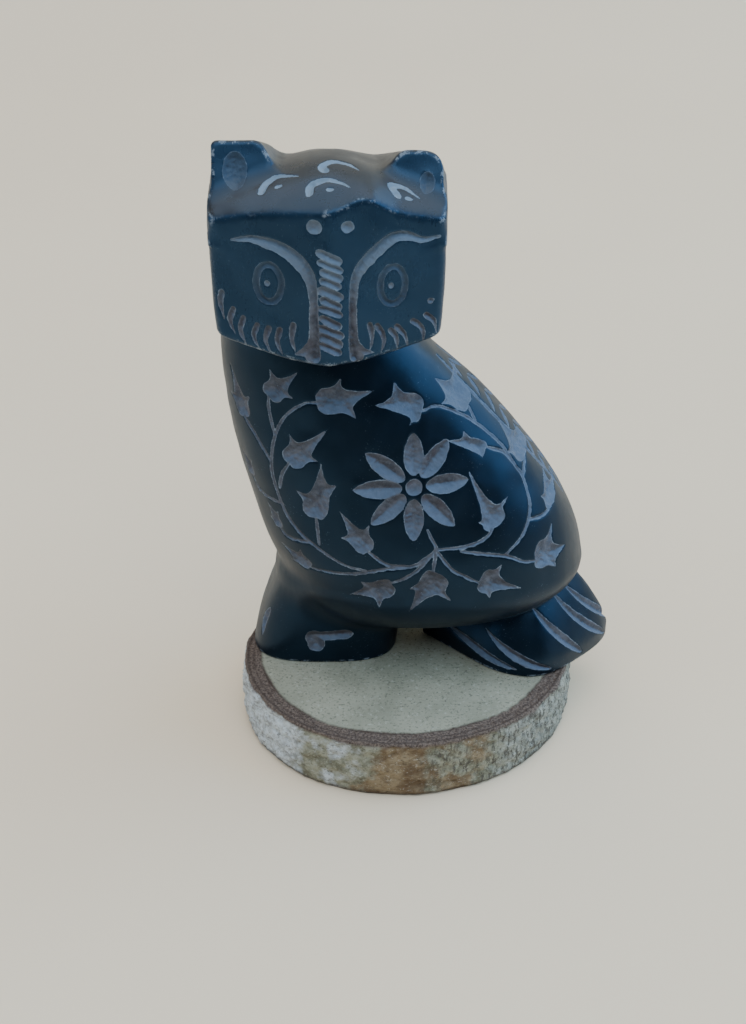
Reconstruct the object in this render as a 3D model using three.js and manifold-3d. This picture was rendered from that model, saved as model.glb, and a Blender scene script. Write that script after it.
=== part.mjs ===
// An owl carved from one piece of soapstone, standing on a slice of birch branch.
// Millimetres, +Z up. The origin is the centre of the slice's underside. The owl's body is in
// profile, with its breast at -X and its tail at +X, and its head is turned to look along -Y.

import * as THREE from "three";
import { ConvexGeometry } from "three/addons/geometries/ConvexGeometry.js";
import { mergeVertices } from "three/addons/utils/BufferGeometryUtils.js";
import Module from "manifold-3d";

// Driving dimensions.
const SLICE = { height: 10, longRadius: 27.4, shortRadius: 25.2, turn: 31, edge: 0.5, bulge: 0.35 };
const GROUND = SLICE.height;
const MID_Y = 4.4; // the plane that the body is symmetrical about

// The body above its belly line: height, breast, back and half depth.
const BODY_STATIONS = [
  [27.0, -21.0, 28.0, 16.2],
  [32.0, -23.0, 26.9, 16.4],
  [38.6, -24.9, 24.0, 15.5],
  [44.1, -26.3, 20.5, 14.4],
  [50.7, -27.7, 15.5, 13.0],
  [56.5, -28.5, 10.4, 11.8],
  [63.4, -29.0, 3.0, 10.4],
  [72.0, -28.9, -5.0, 8.9],
];
const BODY = { top: 71.9, squareness: 2.25, bellyDepth: 11.6, bellyLean: 0.3, sides: 28 };
const FOOT = {
  x: -13.8,
  halfLength: 11.8,
  halfDepth: 8.6,
  height: 14,
  lean: 2,
  taper: 2.3,
  squareness: 3,
  sides: 28,
};

// The tail's fan from above: points of one half of its rim, as x and distance from the middle plane.
const TAIL_RIM = [
  [3.0, 0.0],
  [7.2, 4.4],
  [11.2, 8.9],
  [15.0, 11.8],
  [19.6, 12.8],
  [24.6, 11.2],
  [29.4, 6.2],
  [32.6, 2.3],
];
const TAIL = { x: 20.5, reach: 12.8, tip: 33.2, rimTop: 12.5, height: 14.5, slope: 0.25, slopePower: 1.3 };

const HEAD = {
  x: -12.3,
  halfWidth: 16.8,
  ridgeY: -12.3,
  facetSlope: 0.26,
  sideEnd: 2,
  backDepth: 15,
  chin: 67.6,
  jawRise: 3.4,
  eyeLevel: 80,
  jawTaper: 0.5,
};
const CROWN = { edge: 88.5, arch: 2.4, rise: 0.78, fall: 0.034, dip: 1.4, dipWidth: 5.5, dipReach: 11 };
const BROW_BUMP = { x: -6.9, height: 2.1, width: 3.4 };
const EARS = [
  { side: -1, tip: 97.8, root: 9.4, rootZ: 97.5, splay: 0.65, round: 0.6 },
  { side: 1, tip: 96.3, root: 9.6, rootZ: 95.5, splay: 0.9, round: 2.2 },
];
const EAR = { outer: 16.4, frontY: -1.3, frontZ: 97.3, frontLean: 0.5, backY: 4, backZ: 96, backLean: 0.7 };
const EAR_FALL = 0.42; // how fast an ear's top falls towards the back
const EAR_FOOT = 86; // the ears start inside the head

const wasm = await Module();
wasm.setup();

// ---------------------------------------------------------------- helpers

const signedPower = (value, power) => Math.sign(value) * Math.abs(value) ** power;
const range = (count, from, to) =>
  Array.from({ length: count }, (_, i) => THREE.MathUtils.lerp(from, to, i / (count - 1)));

// A closed geometry through rings of equal point counts, with flat fans at both ends.
function loft(rings) {
  const sides = rings[0].length;
  const last = (rings.length - 1) * sides;
  const index = [];
  for (let start = 0; start < last; start += sides) {
    for (let s = 0; s < sides; s += 1) {
      const a = start + s;
      const b = start + ((s + 1) % sides);
      index.push(a, b, b + sides, a, b + sides, a + sides);
    }
  }
  for (let s = 1; s + 1 < sides; s += 1) {
    index.push(0, s + 1, s);
    index.push(last, last + s, last + s + 1);
  }
  const geometry = new THREE.BufferGeometry().setFromPoints(rings.flat());
  geometry.setIndex(index);
  return geometry;
}

// A geometry as a manifold solid, turned outwards, without its collapsed triangles.
function solidOf(geometry) {
  const bare = new THREE.BufferGeometry();
  bare.setAttribute("position", geometry.getAttribute("position").clone());
  bare.setIndex(geometry.index);
  const merged = mergeVertices(bare, 1e-4);
  const triangles = [];
  for (let i = 0; i < merged.index.count; i += 3) {
    const [a, b, c] = [0, 1, 2].map((k) => merged.index.getX(i + k));
    if (a !== b && b !== c && c !== a) triangles.push([a, b, c]);
  }
  const build = (faces) =>
    new wasm.Manifold(
      new wasm.Mesh({
        numProp: 3,
        vertProperties: new Float32Array(merged.getAttribute("position").array),
        triVerts: new Uint32Array(faces.flat()),
      }),
    );
  const solid = build(triangles);
  return solid.volume() < 0 ? build(triangles.map(([a, b, c]) => [a, c, b])) : solid;
}

function geometryOf(solid) {
  const mesh = solid.getMesh();
  const geometry = new THREE.BufferGeometry();
  geometry.setAttribute("position", new THREE.BufferAttribute(mesh.vertProperties, 3));
  geometry.setIndex(new THREE.BufferAttribute(mesh.triVerts, 1));
  return geometry;
}

// A rounded-square ring in a horizontal plane.
function superellipse(x, y, z, halfX, halfY, squareness, sides) {
  return Array.from({ length: sides }, (_, i) => {
    const angle = (i / sides) * 2 * Math.PI;
    const across = signedPower(Math.cos(angle), 2 / squareness);
    const along = signedPower(Math.sin(angle), 2 / squareness);
    return new THREE.Vector3(x + halfX * across, y + halfY * along, z);
  });
}

// ---------------------------------------------------------------- carving

// How a tool comes to a place on a piece: from a far start, along a line of travel.
const vector = (x, y, z) => new THREE.Vector3(x, y, z);
const TOOLS = {
  front: ([x, z]) => ({ start: vector(x, -80, z), travel: vector(0, 1, 0) }),
  back: ([x, z]) => ({ start: vector(x, 80, z), travel: vector(0, -1, 0) }),
  top: ([x, y]) => ({ start: vector(x, y, 200), travel: vector(0, 0, -1) }),
  spine: ([y, z]) => ({ start: vector(80, y, z), travel: vector(-1, 0, 0) }),
  roundTail: ([degrees, z]) => {
    const angle = THREE.MathUtils.degToRad(degrees);
    const out = vector(Math.cos(angle), Math.sin(angle), 0);
    return { start: vector(TAIL.x, MID_Y, z).addScaledVector(out, 60), travel: out.negate() };
  },
};
const FEEL = 0.8; // the touch averages the surface over this far around it

function touch(piece, tool, place) {
  const { start, travel } = tool(place);
  const side = vector(travel.z, travel.x, travel.y);
  const other = vector(0, 0, 0).crossVectors(travel, side);
  const around = [side, other].flatMap((v) => [v.clone(), v.clone().negate()]);
  const ray = new THREE.Raycaster();
  const hits = [new THREE.Vector3(), ...around].map((shift) => {
    ray.set(start.clone().addScaledVector(shift, FEEL), travel);
    return ray.intersectObject(piece)[0];
  });
  if (!hits[0]) return null;
  const normal = new THREE.Vector3();
  hits.filter((hit) => hit).forEach((hit) => normal.add(hit.face.normal));
  return { point: hits[0].point, normal: normal.normalize() };
}

// How a stroke's width runs from its start, 0, to its end, 1.
const SHAPES = {
  even: (t) => 0.35 + 0.65 * Math.min(1, 6 * t, 6 * (1 - t)),
  spindle: (t) => Math.sin(Math.PI * t) ** 0.7,
  drop: (t) => Math.sqrt(Math.sin(Math.PI * t ** 0.6)) * (1 - 0.25 * t),
};
const LIFT = 0.3; // a cutter stands this far out of the surface

// A V-shaped cutter along a path on the surface.
function gouge(piece, tool, stroke) {
  const { path, width, depth, shape = "even", steps = 4 } = stroke;
  const curve = new THREE.SplineCurve(path.map(([a, b]) => new THREE.Vector2(a, b)));
  const touches = range(steps + 1, 0, 1)
    .map((t) => ({ t, ...touch(piece, tool, curve.getPoint(t).toArray()) }))
    .filter(({ point }) => point);
  const rings = touches.map(({ t, point, normal }, i) => {
    const before = touches[Math.max(i - 1, 0)].point;
    const after = touches[Math.min(i + 1, touches.length - 1)].point;
    const forward = after.clone().sub(before).normalize();
    const aside = new THREE.Vector3().crossVectors(forward, normal).normalize();
    const size = Math.max(SHAPES[shape](t), 0.08);
    const cut = depth * size;
    const half = (width / 2) * size * (1 + LIFT / cut);
    const crest = point.clone().addScaledVector(normal, LIFT);
    return [
      crest.clone().addScaledVector(aside, half),
      crest.clone().addScaledVector(aside, -half),
      point.clone().addScaledVector(normal, -cut),
    ];
  });
  return solidOf(loft(rings));
}

// A round or oval hollow, cut by a ball that sinks in by `depth`.
function hollow(piece, tool, { place, radii, depth, turn = 0 }) {
  const { point, normal } = touch(piece, tool, place);
  const ball = new THREE.SphereGeometry(1, 8, 4);
  const sink = 2 * depth; // the ball's own half height along the normal
  ball.scale(radii[0], radii[1], sink);
  ball.rotateZ(THREE.MathUtils.degToRad(turn));
  const facing = new THREE.Matrix4().lookAt(normal, new THREE.Vector3(), new THREE.Vector3(0, 0, 1));
  ball.applyMatrix4(facing);
  const centre = point.clone().addScaledVector(normal, sink - depth);
  ball.translate(centre.x, centre.y, centre.z);
  return solidOf(ball);
}

// The largest body of a solid, without the crumbs that cuts meeting each other leave.
const largest = (solid) => solid.decompose().sort((a, b) => b.volume() - a.volume())[0];

// Cuts strokes and hollows into a piece.
function carve(solid, toolName, { strokes = [], hollows = [] }) {
  const piece = new THREE.Mesh(geometryOf(solid), new THREE.MeshBasicMaterial({ side: THREE.DoubleSide }));
  const tool = TOOLS[toolName];
  const cutters = [
    ...strokes.map((stroke) => gouge(piece, tool, stroke)),
    ...hollows.map((item) => hollow(piece, tool, item)),
  ];
  return solid.subtract(wasm.Manifold.union(cutters));
}

// ---------------------------------------------------------------- the owl's masses

const BELLY_END = 84; // the belly's round stops short of its pole by a few degrees, and is flat there

function bodySolid() {
  const heights = BODY_STATIONS.map((station) => station[0]);
  const values = BODY_STATIONS.flatMap((station) => station.slice(1));
  const section = new THREE.CubicInterpolant(heights, values, 3);
  const ring = (z, scale = 1, shift = 0) => {
    const [breast, back, depth] = section.evaluate(Math.max(z, heights[0]));
    const middle = (breast + back) / 2 - shift;
    const halfLength = ((back - breast) / 2) * scale;
    return superellipse(middle, MID_Y, z, halfLength, depth * scale, BODY.squareness, BODY.sides);
  };
  const belly = heights[0];
  const below = range(4, BELLY_END, 17).map((degrees) => {
    const angle = THREE.MathUtils.degToRad(degrees);
    const drop = BODY.bellyDepth * Math.sin(angle);
    return ring(belly - drop, Math.cos(angle), (BODY.bellyLean * drop * drop) / BODY.bellyDepth);
  });
  const above = range(10, belly, BODY.top).map((z) => ring(z));
  return solidOf(loft([...below, ...above]));
}

function footSolid() {
  const rings = range(5, 0, 1).map((t) =>
    superellipse(
      FOOT.x + FOOT.lean * t,
      MID_Y,
      GROUND + FOOT.height * t,
      FOOT.halfLength - FOOT.taper * t * t,
      FOOT.halfDepth,
      FOOT.squareness,
      FOOT.sides,
    ),
  );
  return solidOf(loft(rings));
}

// How far the tail's side has drawn in at a height.
const tailInset = (z) => TAIL.slope * Math.max(z - TAIL.rimTop, 0) ** TAIL.slopePower;

function tailSolid() {
  const half = TAIL_RIM.map(([x, y]) => new THREE.Vector2(x, y));
  const mirrored = half.slice(1).reverse().map((p) => new THREE.Vector2(p.x, -p.y));
  const rim = new THREE.SplineCurve([...half, new THREE.Vector2(TAIL.tip, 0), ...mirrored, half[0]]);
  const outline = rim.getPoints(28).slice(0, -1);
  const heights = [0, 2.5, 6, 10, TAIL.height].map((h) => GROUND + h);
  const rings = heights.map((z) => {
    const scale = 1 - tailInset(z) / TAIL.reach;
    return outline.map((p) => new THREE.Vector3(TAIL.x + (p.x - TAIL.x) * scale, MID_Y + p.y * scale, z));
  });
  return solidOf(loft(rings));
}

// The top of the head: a low dome that rises from the edge of the face.
function crownZ(x, y) {
  const across = x - HEAD.x;
  const back = Math.max(y - HEAD.ridgeY - HEAD.facetSlope * Math.abs(across), 0);
  const bump = BROW_BUMP.height * Math.exp(-(((x - BROW_BUMP.x) / BROW_BUMP.width) ** 2));
  const fade = THREE.MathUtils.clamp(1 - (y + 12) / 12, 0, 1);
  const edge = CROWN.edge + CROWN.arch * (1 - (across / HEAD.halfWidth) ** 2) + bump * fade;
  const side = 1 - Math.exp(-((across / CROWN.dipWidth) ** 2));
  const dip = CROWN.dip * side * Math.min(back / CROWN.dipReach, 1);
  return edge + CROWN.rise * back - CROWN.fall * back * back - dip;
}

// The head from above: two flat facets that meet in a ridge, straight sides and a round back.
function headOutline() {
  const corner = HEAD.ridgeY + HEAD.facetSlope * HEAD.halfWidth;
  const rightHalf = [
    ...range(7, 0, 1).map((t) => [HEAD.halfWidth * t, THREE.MathUtils.lerp(HEAD.ridgeY, corner, t)]),
    ...range(3, corner, HEAD.sideEnd).slice(1).map((y) => [HEAD.halfWidth, y]),
    ...range(6, 0, 90).slice(1).map((degrees) => {
      const angle = THREE.MathUtils.degToRad(degrees);
      return [HEAD.halfWidth * Math.cos(angle), HEAD.sideEnd + HEAD.backDepth * Math.sin(angle)];
    }),
  ];
  const leftHalf = rightHalf.slice(1, -1).reverse().map(([x, y]) => [-x, y]);
  return [...rightHalf, ...leftHalf];
}

const POINTED = 0.02; // the share of the outline at which a ring closes to a small flat

function headSolid() {
  const outline = headOutline();
  const ring = (spread, zAt, narrow = 0) => {
    const scale = 1 - narrow / HEAD.halfWidth;
    return outline.map(([across, y]) => {
      const x = HEAD.x + across * spread * scale;
      const depth = HEAD.sideEnd + (y - HEAD.sideEnd) * spread;
      return new THREE.Vector3(x, depth, zAt(x, depth));
    });
  };
  const jaw = (x) => HEAD.chin + HEAD.jawRise * (Math.abs(x - HEAD.x) / HEAD.halfWidth) ** 1.6;
  return solidOf(
    loft([
      ring(POINTED, jaw, HEAD.jawTaper),
      ring(1, jaw, HEAD.jawTaper),
      ring(1, () => HEAD.eyeLevel),
      ...[1, 0.88, 0.7, 0.48, 0.25, POINTED].map((spread) => ring(spread, crownZ)),
    ]),
  );
}

// An ear: a block at the head's corner, leaning back in front, behind and inside.
function earSolid(ear) {
  const frontY = (z) => EAR.frontY + (z - EAR.frontZ) * EAR.frontLean;
  const backY = (z) => EAR.backY - (z - EAR.backZ) * EAR.backLean;
  const inner = (z) => ear.root + (z - ear.rootZ) * ear.splay;
  const corner = (across, y, z) => new THREE.Vector3(HEAD.x + ear.side * across, y, z);
  const backTip = ear.tip - EAR_FALL * (EAR.backY - EAR.frontY);
  const points = [
    [ear.tip, frontY],
    [backTip, backY],
  ].flatMap(([tip, yAt]) => [
    corner(inner(tip), yAt(tip), tip),
    corner(EAR.outer - ear.round, yAt(tip), tip),
    corner(EAR.outer, yAt(tip - ear.round), tip - ear.round),
    corner(EAR.outer, yAt(EAR_FOOT), EAR_FOOT),
    corner(inner(EAR_FOOT), yAt(EAR_FOOT), EAR_FOOT),
  ]);
  return solidOf(new ConvexGeometry(points));
}

// ---------------------------------------------------------------- ornament

const FLOWER = { place: [0.3, 46.2], petals: 8, inner: 2.1, outer: 8.2, width: 3.1, depth: 0.5 };
const VINE = { width: 0.7, depth: 0.3 };
const LEAF = { width: 3.2, depth: 0.5, tipAt: 0.52, span: 2.6 };

// Stems on the flank, as x and z, from the root below the flower outwards.
const STEMS = [
  [[2.4, 39.5], [3.7, 36.3], [1.1, 34.1], [-6, 32.3], [-14.5, 31]],
  [[0.1, 33.6], [-3.6, 33.8], [-6.7, 35.8]],
  [[-7, 32.4], [-14.8, 35.4], [-19.8, 41], [-21.3, 48], [-20, 55], [-14.2, 59.2]],
  [[-21, 51], [-21.5, 59]],
  [[-21.4, 48.6], [-25.4, 54.6]],
  [[-20.3, 44.5], [-18.4, 48.7]],
  [[-14.2, 35.8], [-14.6, 40.4]],
  [[3.7, 36.3], [1.1, 33.1], [-3.1, 30.5]],
  [[3.7, 36.3], [3.4, 33]],
  [[3.7, 36.3], [6.2, 33], [10.5, 30.3]],
  [[3.7, 36.3], [8.6, 36.4], [12.4, 38.8]],
  [[7.5, 36], [14.3, 34.3], [19.3, 32.3]],
  [[14.3, 34.3], [18, 38.8], [17.3, 44.5], [10, 53.6], [1.4, 57.2]],
  [[18, 38.8], [21.9, 38.9]],
];

// Leaves, from the end of their stem to their tip.
const LEAVES = [
  [[-14.5, 31], [-19.2, 32.6]],
  [[-6.7, 35.8], [-11.1, 42.3]],
  [[-14.2, 59.2], [-6.1, 60.9]],
  [[-21.5, 59], [-16.9, 63.6]],
  [[-25.4, 54.6], [-27.0, 60.5]],
  [[-18.4, 48.7], [-12.4, 55.4]],
  [[-14.6, 40.4], [-13.7, 49.4]],
  [[-3.1, 30.5], [-8.9, 26.8]],
  [[3.4, 33], [0.4, 25.4]],
  [[10.5, 30.3], [17, 28.4]],
  [[12.4, 38.8], [9.2, 46.6]],
  [[19.3, 32.3], [22.2, 36.4]],
  [[21.9, 38.9], [20.9, 42.9]],
  [[17.4, 45.4], [13.4, 52]],
  [[1.4, 57.2], [-5.5, 58.9]],
  [[9.4, 54.4], [3.7, 60.8]],
  [[11.2, 49.6], [5, 52.7]],
];
const REAR_LEAVES = [2, 5, 10, 14]; // the far flank is plainer
const REAR_STEMS = [12];

// A stem is cut in steps of about 4 mm.
function stemStroke(path) {
  const curve = new THREE.SplineCurve(path.map(([a, b]) => new THREE.Vector2(a, b)));
  return { path, ...VINE, steps: Math.max(2, Math.round(curve.getLength() / 4)) };
}

// A leaf of three points: a blade to the tip and a lobe on either side.
function leafStrokes([base, tip]) {
  const from = new THREE.Vector2(...base);
  const along = new THREE.Vector2(...tip).sub(from);
  const length = along.length();
  const across = new THREE.Vector2(-along.y, along.x).divideScalar(length);
  const blade = { path: [base, tip], width: LEAF.width, depth: LEAF.depth, shape: "drop", steps: 3 };
  const lobes = [-1, 1].map((side) => {
    const point = from.clone().addScaledVector(along, LEAF.tipAt);
    point.addScaledVector(across, (side * LEAF.span * length) / 7.5);
    const root = from.clone().addScaledVector(along, 0.06);
    return {
      path: [root.toArray(), point.toArray()],
      width: LEAF.width * 0.75,
      depth: LEAF.depth * 0.8,
      shape: "drop",
      steps: 2,
    };
  });
  return [blade, ...lobes];
}

function petalStrokes() {
  return range(FLOWER.petals + 1, 90, 450).slice(1).map((degrees) => {
    const angle = THREE.MathUtils.degToRad(degrees);
    const at = (radius) => [
      FLOWER.place[0] + radius * Math.cos(angle),
      FLOWER.place[1] + radius * Math.sin(angle),
    ];
    return {
      path: [at(FLOWER.inner), at(FLOWER.outer)],
      width: FLOWER.width,
      depth: FLOWER.depth,
      shape: "spindle",
      steps: 3,
    };
  });
}
const FLOWER_EYE = { place: FLOWER.place, radii: [1.3, 1.3], depth: 0.4 };

// The band down the spine, as distance from the middle plane and height, and its feathers.
const SPINE_LINE = [[1.8, 62.5], [3.5, 57], [3.7, 52], [2.6, 45], [0.6, 38]];
const FEATHERS = { count: 4, top: 60, foot: 44, reach: 2.6, drop: 2, width: 0.9, depth: 0.35 };
function spineStrokes() {
  return [-1, 1].flatMap((side) => {
    const line = SPINE_LINE.map(([across, z]) => [MID_Y + side * across, z]);
    const feathers = range(FEATHERS.count, FEATHERS.top, FEATHERS.foot).map((z) => ({
      path: [
        [MID_Y + side * 0.3, z],
        [MID_Y + side * FEATHERS.reach, z - FEATHERS.drop],
      ],
      shape: "spindle",
      steps: 2,
      width: FEATHERS.width,
      depth: FEATHERS.depth,
    }));
    return [stemStroke(line), ...feathers];
  });
}

// The face, in millimetres from its ridge and from the eyes' level.
const EYE_Z = 79.7;
const EYE = { across: 8.8, radii: [2.4, 3.6], width: 0.75, depth: 0.3 };
const BROW = {
  path: [
    [13.3, 6.4], [10.2, 7.3], [7.8, 7.1], [5, 6.5], [3, 4.8], [1.8, 3], [1.8, -1], [2, -5], [2.2, -9.2],
  ],
  width: 1.5,
  depth: 0.45,
};
const CHEEKS = [
  [14.9, -2], [13.8, -4.2], [12.3, -5.4], [10.4, -6.1], [8.6, -6.3], [6.9, -6.2], [5.2, -5.6],
];
const CHEEK = { length: 4.2, lean: 0.3, width: 0.9, depth: 0.3 };
const BEAK = { strokes: 9, top: 6.3, pitch: 1.95, halfWidth: 1.3, drop: 0.7, width: 1.1, depth: 0.35 };
const BROW_DOTS = [[-1.8, 9.3, 0.75], [2.7, 9.2, 0.65]];

function faceCarving() {
  const onFace = ([across, up], side) => [HEAD.x + side * across, EYE_Z + up];
  const brow = (side) => ({
    path: BROW.path.map((p) => onFace(p, side)),
    width: BROW.width,
    depth: BROW.depth,
    shape: "even",
    steps: 8,
  });
  const arc = (side, from) => ({
    path: range(7, from, from + 190).map((degrees) => {
      const angle = THREE.MathUtils.degToRad(degrees);
      const up = EYE.radii[1] * Math.sin(angle);
      return onFace([EYE.across + EYE.radii[0] * Math.cos(angle), up], side);
    }),
    width: EYE.width,
    depth: EYE.depth,
    steps: 5,
  });
  const cheeks = (side) =>
    CHEEKS.map(([across, up]) => ({
      path: [onFace([across, up], side), onFace([across - CHEEK.lean, up - CHEEK.length], side)],
      shape: "spindle",
      steps: 2,
      width: CHEEK.width,
      depth: CHEEK.depth,
    }));
  const hatch = range(BEAK.strokes, 0, BEAK.strokes - 1).map((row) => {
    const up = BEAK.top - row * BEAK.pitch;
    return {
      path: [
        [HEAD.x + 0.4 - BEAK.halfWidth, EYE_Z + up],
        [HEAD.x + 0.4 + BEAK.halfWidth, EYE_Z + up - BEAK.drop],
      ],
      shape: "spindle",
      steps: 2,
      width: BEAK.width,
      depth: BEAK.depth,
    };
  });
  const sides = [-1, 1];
  return {
    strokes: [
      ...sides.flatMap((side) => [brow(side), arc(side, 0), arc(side, 180), ...cheeks(side)]),
      ...hatch,
    ],
    hollows: [
      ...BROW_DOTS.map(([across, up, radius]) => ({
        place: [HEAD.x + across, EYE_Z + up],
        radii: [radius, radius],
        depth: 0.3,
      })),
    ],
  };
}

// Small crescents on the crown, as x and y.
const CRESCENTS = [
  [[-21.6, -6.8], [-20.8, -5.1], [-19.1, -4.3], [-16.4, -5.2]],
  [[-14.6, -9.2], [-14.2, -7.6], [-12, -7.1], [-8.9, -8.8]],
  [[-12.3, -5.6], [-12.9, -4.3], [-11, -3.1], [-7.9, -4.9]],
  [[-2.2, -7.4], [-3.4, -5.9], [-1.8, -5.3], [0.6, -6.2]],
];
const EAR_HOLLOWS = [
  { place: [-25.3, 93.8], radii: [1.8, 2.8], depth: 0.6 },
  { place: [1.5, 92.6], radii: [1.2, 1.6], depth: 0.5 },
];

// Grooves between the tail's feathers: angle round the fan at their lower end, in degrees.
const GROOVES = { ends: [-106, -74, -40, -6, 28], sweep: 48, top: 19.5, foot: 11.2, width: 1.5, depth: 0.5 };

function tailStrokes() {
  return GROOVES.ends.flatMap((end) =>
    [-1, 1].map((side) => ({
      path: [
        [side * (end - GROOVES.sweep), GROOVES.top],
        [side * end, GROOVES.foot],
      ],
      width: GROOVES.width,
      depth: GROOVES.depth,
      shape: "spindle",
      steps: 5,
    })),
  );
}

const FOOT_MARKS = {
  strokes: [
    {
      path: [[-16.6, 14.6], [-13.2, 15.4], [-9.4, 15.6]],
      width: 1.3,
      depth: 0.4,
      shape: "drop",
      steps: 4,
    },
    { path: [[-22.7, 17.2], [-23.6, 13]], width: 0.8, depth: 0.3, shape: "spindle", steps: 3 },
  ],
  hollows: [{ place: [-15.3, 14], radii: [1.3, 1.3], depth: 0.4 }],
};

// ---------------------------------------------------------------- the two pieces

function owlGeometry() {
  const flower = petalStrokes();
  const front = [...STEMS.map(stemStroke), ...LEAVES.flatMap(leafStrokes), ...flower];
  const rear = [
    ...REAR_STEMS.map((i) => stemStroke(STEMS[i])),
    ...REAR_LEAVES.flatMap((i) => leafStrokes(LEAVES[i])),
    ...flower,
  ];
  let body = carve(bodySolid(), "front", { strokes: front, hollows: [FLOWER_EYE] });
  body = carve(body, "back", { strokes: rear, hollows: [FLOWER_EYE] });
  body = carve(body, "spine", { strokes: spineStrokes() });
  const foot = carve(footSolid(), "front", FOOT_MARKS);
  const tail = carve(tailSolid(), "roundTail", { strokes: tailStrokes() });
  let head = wasm.Manifold.union([headSolid(), ...EARS.map(earSolid)]);
  const crescents = CRESCENTS.map((path) => ({ path, width: 0.8, depth: 0.3, steps: 5 }));
  head = carve(head, "top", { strokes: crescents });
  const face = faceCarving();
  head = carve(head, "front", { strokes: face.strokes, hollows: [...face.hollows, ...EAR_HOLLOWS] });
  return geometryOf(largest(wasm.Manifold.union([body, foot, tail, head])));
}

// The slice: a slightly uneven oval with its bark on, its edges just broken.
const SLICE_SIDES = 40;

function sliceGeometry() {
  const turn = THREE.MathUtils.degToRad(SLICE.turn);
  const outline = (grow) =>
    Array.from({ length: SLICE_SIDES }, (_, i) => {
      const angle = (i / SLICE_SIDES) * 2 * Math.PI;
      const uneven = 1 + 0.006 * Math.sin(3 * angle + 0.6) + 0.004 * Math.sin(5 * angle + 2);
      const long = (SLICE.longRadius + grow) * uneven * Math.cos(angle);
      const short = (SLICE.shortRadius + grow) * uneven * Math.sin(angle);
      return [
        long * Math.cos(turn) - short * Math.sin(turn),
        long * Math.sin(turn) + short * Math.cos(turn),
      ];
    });
  const levels = [
    [0, -SLICE.edge],
    [SLICE.edge, 0],
    [SLICE.height / 2, SLICE.bulge],
    [SLICE.height - SLICE.edge, 0],
    [SLICE.height, -SLICE.edge],
  ];
  return loft(levels.map(([z, grow]) => outline(grow).map(([x, y]) => new THREE.Vector3(x, y, z))));
}

const dyedSoapstone = new THREE.MeshStandardMaterial({ color: 0x0d1319, roughness: 0.28, metalness: 0 });
const birchWood = new THREE.MeshStandardMaterial({ color: 0xa39a82, roughness: 0.85, metalness: 0 });

function part() {
  const group = new THREE.Group();
  const owl = new THREE.Mesh(owlGeometry(), dyedSoapstone);
  owl.name = "soapstone_owl";
  const slice = new THREE.Mesh(sliceGeometry(), birchWood);
  slice.name = "birch_slice";
  group.add(slice, owl);
  return group;
}

export default part();
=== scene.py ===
"""Looks of a soapstone owl on a slice of birch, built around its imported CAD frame.

The owl is one fine mesh: an implicit form with the same named sizes as the CAD solid, meshed,
refined near its carving, and cut by V-shaped strokes and leaves that are set out in millimetres.
"""

import math

import bpy
import numpy as np
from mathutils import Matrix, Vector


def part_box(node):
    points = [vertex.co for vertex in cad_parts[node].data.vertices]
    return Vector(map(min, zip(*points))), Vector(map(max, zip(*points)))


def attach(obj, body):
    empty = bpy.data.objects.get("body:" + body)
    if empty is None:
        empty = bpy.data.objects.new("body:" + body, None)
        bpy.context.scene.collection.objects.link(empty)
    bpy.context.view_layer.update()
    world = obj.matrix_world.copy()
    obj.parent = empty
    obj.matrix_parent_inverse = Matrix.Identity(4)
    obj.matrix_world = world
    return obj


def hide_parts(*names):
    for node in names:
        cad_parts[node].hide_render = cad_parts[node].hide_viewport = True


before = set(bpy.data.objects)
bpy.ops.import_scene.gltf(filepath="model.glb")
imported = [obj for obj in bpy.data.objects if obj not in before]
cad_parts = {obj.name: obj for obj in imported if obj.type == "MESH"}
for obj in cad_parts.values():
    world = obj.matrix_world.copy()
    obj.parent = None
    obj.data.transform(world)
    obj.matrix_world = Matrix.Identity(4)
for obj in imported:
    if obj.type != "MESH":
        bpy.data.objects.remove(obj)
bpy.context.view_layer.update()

MM = 0.001
SEED = 11

# ------------------------------------------------------------------ sizes, in millimetres

GROUND = (np.array(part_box("birch_slice")[1]) / MM)[2]  # the slice's top, where the owl stands
MID_Y = 4.4  # the plane that the body is symmetrical about

# The body above its belly line: height, breast, back and half depth.
BODY_STATIONS = np.array([
    [27.0, -21.0, 28.0, 16.2],
    [32.0, -23.0, 26.9, 16.4],
    [38.6, -24.9, 24.0, 15.5],
    [44.1, -26.3, 20.5, 14.4],
    [50.7, -27.7, 15.5, 13.0],
    [56.5, -28.5, 10.4, 11.8],
    [63.4, -29.0, 3.0, 10.4],
    [72.0, -28.9, -5.0, 8.9],
])
BODY = dict(belly=27.0, depth=11.6, lean=0.3, squareness=2.25, top=76.0, scale=16.0)
FOOT = dict(x=-13.8, half_length=11.8, half_depth=8.6, height=14.0, top=26.0, lean=2.0, taper=2.3)
TAIL = dict(
    root_x=3.0, root_r=0.5, fan_r=12.8, fan_x=20.5, rim_top=12.5, slope=0.25, power=1.3, top=25.0, corner=10.6
)
HEAD = dict(
    x=-12.3, half=16.8, ridge_y=-12.3, slope=0.26, side_end=2.0, back=15.0, chin=67.6, jaw=3.4,
    taper=0.0045, taper_from=83.0, taper_reach=20.0, scale=16.0,
)
CROWN = dict(edge=88.5, arch=2.4, rise=0.78, fall=0.034, dip=1.4, dip_width=5.5, dip_reach=11.0)
BROW_BUMP = dict(x=-6.9, height=2.1, width=3.4, reach=12.0)
EARS = [
    dict(side=-1, tip=97.8, root=9.4, root_z=97.5, splay=0.65, round=1.0),
    dict(side=1, tip=96.3, root=9.6, root_z=95.5, splay=0.9, round=3.0),
]
EAR = dict(
    outer=16.4, front_y=-1.3, front_z=97.3, front_lean=0.5, back_y=4.0, back_z=96.0, back_lean=0.7,
    fall=0.42, foot=85.0,
)


# ------------------------------------------------------------------ camera

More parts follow.
